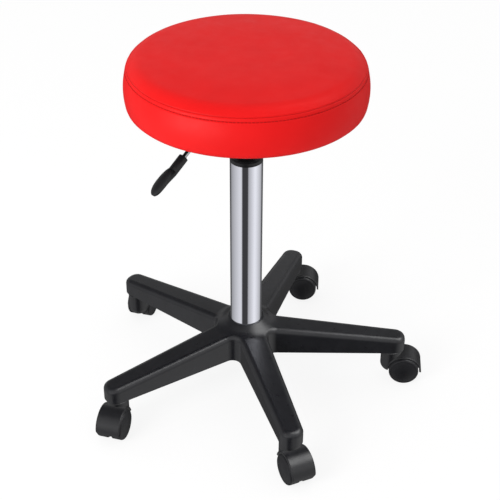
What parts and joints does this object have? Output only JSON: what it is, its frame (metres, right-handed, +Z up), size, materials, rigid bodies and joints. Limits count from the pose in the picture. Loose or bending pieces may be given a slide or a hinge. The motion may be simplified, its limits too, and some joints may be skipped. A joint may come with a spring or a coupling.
{
  "type": "rolling stool",
  "caption": "Round padded vinyl stool on a height-adjustable gas lift column with a star base and hooded twin-wheel swivel casters.",
  "frame": {"origin": "on the floor, under the axis of the column", "axes": "+Z up along the column; +X along the first base arm"},
  "size_m": [0.5162, 0.5334, 0.575],
  "materials": {
    "red_vinyl": "satin",
    "chromed_steel": "polished",
    "black_nylon": "matte",
    "black_caster_plastic": "satin",
    "black_wheel_plastic": "matte",
    "black_gloss_plastic": "gloss",
    "black_painted_steel": "gloss",
    "zinc_steel": "satin",
    "polished_steel": "polished",
    "natural_acetal": "satin",
    "black_rubber": "matte",
    "plywood": "matte",
    "foam": "matte",
    "dust_cloth": "matte"
  },
  "bodies": {
    "base": {"star_base": "black_nylon", "cylinder_tube": "chromed_steel", "tube_bottom_plate": "zinc_steel", "guide_bush": "natural_acetal", "top_collar": "black_gloss_plastic", "lower_bearing_washer": "polished_steel", "bearing_cage": "natural_acetal", "bearing_balls": "polished_steel", "caster_stems": "zinc_steel", "grip_rings": "zinc_steel"},
    "spindle": {"piston_rod": "polished_steel", "piston_head": "natural_acetal", "retaining_clip": "zinc_steel", "upper_bearing_washer": "polished_steel", "bump_stop": "black_rubber"},
    "seat": {"pressure_tube": "black_painted_steel", "rod_guide": "natural_acetal", "rod_seal": "black_rubber", "valve_body": "polished_steel", "seat_plate": "black_painted_steel", "taper_socket": "black_painted_steel", "socket_gussets": "black_painted_steel", "lever_bracket": "black_painted_steel", "lever_pin": "zinc_steel", "seat_top_panel": "red_vinyl", "seat_side_band": "red_vinyl", "foam_pad": "foam", "seat_board": "plywood", "dust_cover": "dust_cloth", "t_nuts": "zinc_steel", "plate_washers": "zinc_steel", "plate_bolts": "zinc_steel", "cover_staples": "zinc_steel"},
    "lever": {"lever_rod": "polished_steel", "lever_grip": "black_gloss_plastic"},
    "valve": {"valve_pin": "polished_steel"},
    "caster_1": {"caster_1_housing": "black_caster_plastic", "caster_1_axle": "zinc_steel"},
    "wheel_1_left": {"caster_1_wheel_left": "black_wheel_plastic"},
    "wheel_1_right": {"caster_1_wheel_right": "black_wheel_plastic"},
    "caster_2": {"caster_2_housing": "black_caster_plastic", "caster_2_axle": "zinc_steel"},
    "wheel_2_left": {"caster_2_wheel_left": "black_wheel_plastic"},
    "wheel_2_right": {"caster_2_wheel_right": "black_wheel_plastic"},
    "caster_3": {"caster_3_housing": "black_caster_plastic", "caster_3_axle": "zinc_steel"},
    "wheel_3_left": {"caster_3_wheel_left": "black_wheel_plastic"},
    "wheel_3_right": {"caster_3_wheel_right": "black_wheel_plastic"},
    "caster_4": {"caster_4_housing": "black_caster_plastic", "caster_4_axle": "zinc_steel"},
    "wheel_4_left": {"caster_4_wheel_left": "black_wheel_plastic"},
    "wheel_4_right": {"caster_4_wheel_right": "black_wheel_plastic"},
    "caster_5": {"caster_5_housing": "black_caster_plastic", "caster_5_axle": "zinc_steel"},
    "wheel_5_left": {"caster_5_wheel_left": "black_wheel_plastic"},
    "wheel_5_right": {"caster_5_wheel_right": "black_wheel_plastic"}
  },
  "joints": [
    {"name": "seat_swivel", "type": "hinge", "parent": "base", "child": "spindle", "pos_m": [0, 0, 0.066], "axis": [0, 0, 1], "continuous": true},
    {"name": "height_adjust", "type": "slide", "parent": "spindle", "child": "seat", "axis": [0, 0, 1], "range_m": [-0.024, 0.176]},
    {"name": "lever_lift", "type": "hinge", "parent": "seat", "child": "lever", "pos_m": [-0.01837, -0.02113, 0.4843], "axis": [-0.7547, 0.6561, 0], "range_deg": [0, 6], "stiffness_Nm_per_rad": 4, "springref_deg": -5.73},
    {"name": "valve_press", "type": "slide", "parent": "seat", "child": "valve", "axis": [0, 0, -1], "range_m": [0, 0.003]},
    {"name": "caster_swivel_1", "type": "hinge", "parent": "base", "child": "caster_1", "pos_m": [0.24, 0, 0.0525], "axis": [0, 0, 1], "continuous": true},
    {"name": "wheel_spin_1_left", "type": "hinge", "parent": "caster_1", "child": "wheel_1_left", "pos_m": [0.26147, -0.00112, 0.0243], "axis": [0.0523, 0.9986, 0], "continuous": true},
    {"name": "wheel_spin_1_right", "type": "hinge", "parent": "caster_1", "child": "wheel_1_right", "pos_m": [0.26147, -0.00112, 0.0243], "axis": [0.0523, 0.9986, 0], "continuous": true},
    {"name": "caster_swivel_2", "type": "hinge", "parent": "base", "child": "caster_2", "pos_m": [0.07416, 0.22825, 0.0525], "axis": [0, 0, 1], "continuous": true},
    {"name": "wheel_spin_2_left", "type": "hinge", "parent": "caster_2", "child": "wheel_2_left", "pos_m": [0.09565, 0.2275, 0.0243], "axis": [0.0349, 0.9994, 0], "continuous": true},
    {"name": "wheel_spin_2_right", "type": "hinge", "parent": "caster_2", "child": "wheel_2_right", "pos_m": [0.09565, 0.2275, 0.0243], "axis": [0.0349, 0.9994, 0], "continuous": true},
    {"name": "caster_swivel_3", "type": "hinge", "parent": "base", "child": "caster_3", "pos_m": [-0.19416, 0.14107, 0.0525], "axis": [0, 0, 1], "continuous": true},
    {"name": "wheel_spin_3_left", "type": "hinge", "parent": "caster_3", "child": "wheel_3_left", "pos_m": [-0.18933, 0.16202, 0.0243], "axis": [-0.9744, 0.225, 0], "continuous": true},
    {"name": "wheel_spin_3_right", "type": "hinge", "parent": "caster_3", "child": "wheel_3_right", "pos_m": [-0.18933, 0.16202, 0.0243], "axis": [-0.9744, 0.225, 0], "continuous": true},
    {"name": "caster_swivel_4", "type": "hinge", "parent": "base", "child": "caster_4", "pos_m": [-0.19416, -0.14107, 0.0525], "axis": [0, 0, 1], "continuous": true},
    {"name": "wheel_spin_4_left", "type": "hinge", "parent": "caster_4", "child": "wheel_4_left", "pos_m": [-0.19936, -0.16193, 0.0243], "axis": [0.9703, -0.2419, 0], "continuous": true},
    {"name": "wheel_spin_4_right", "type": "hinge", "parent": "caster_4", "child": "wheel_4_right", "pos_m": [-0.19936, -0.16193, 0.0243], "axis": [0.9703, -0.2419, 0], "continuous": true},
    {"name": "caster_swivel_5", "type": "hinge", "parent": "base", "child": "caster_5", "pos_m": [0.07416, -0.22825, 0.0525], "axis": [0, 0, 1], "continuous": true},
    {"name": "wheel_spin_5_left", "type": "hinge", "parent": "caster_5", "child": "wheel_5_left", "pos_m": [0.08359, -0.24758, 0.0243], "axis": [0.8988, 0.4384, 0], "continuous": true},
    {"name": "wheel_spin_5_right", "type": "hinge", "parent": "caster_5", "child": "wheel_5_right", "pos_m": [0.08359, -0.24758, 0.0243], "axis": [0.8988, 0.4384, 0], "continuous": true}
  ],
  "couplings": [
    {"joint": "valve_press", "follows": "lever_lift", "m_per_rad": 0.028}
  ]
}
